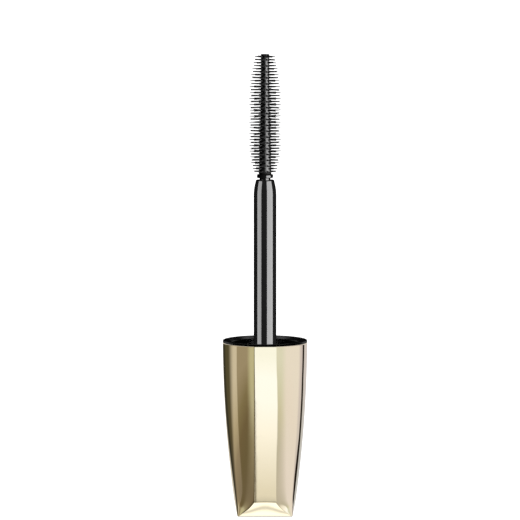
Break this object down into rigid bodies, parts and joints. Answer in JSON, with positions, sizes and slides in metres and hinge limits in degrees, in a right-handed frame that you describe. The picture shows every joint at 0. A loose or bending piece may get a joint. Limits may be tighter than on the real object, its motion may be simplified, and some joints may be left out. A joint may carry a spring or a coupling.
{
  "type": "mascara cap with applicator wand",
  "caption": "Gold mascara cap, round at its mouth and square at its closed end, with a black stem and moulded brush standing out of its threaded mouth.",
  "frame": {"origin": "centre of the cap's square closed end, which is the underside the part stands on", "axes": "+Z along the stem, from the closed end to the brush's tip; +X and +Y square to the four flats of the cap"},
  "size_m": [0.018, 0.018, 0.0984],
  "materials": {
    "gold_shell": "moulded ABS, vacuum-metallised pale champagne gold, mirror-like",
    "black_inner_cap": "moulded black polypropylene, satin",
    "black_stem": "moulded black plastic, high gloss",
    "brush_pin": "moulded black plastic, gloss",
    "bristles": "moulded black thermoplastic elastomer, satin"
  },
  "bodies": {
    "root": {"cap_shell": "gold_shell", "inner_cap": "black_inner_cap", "wand_stem": "black_stem", "brush_core": "brush_pin", "bristle_sleeve": "bristles"}
  },
  "joints": []
}
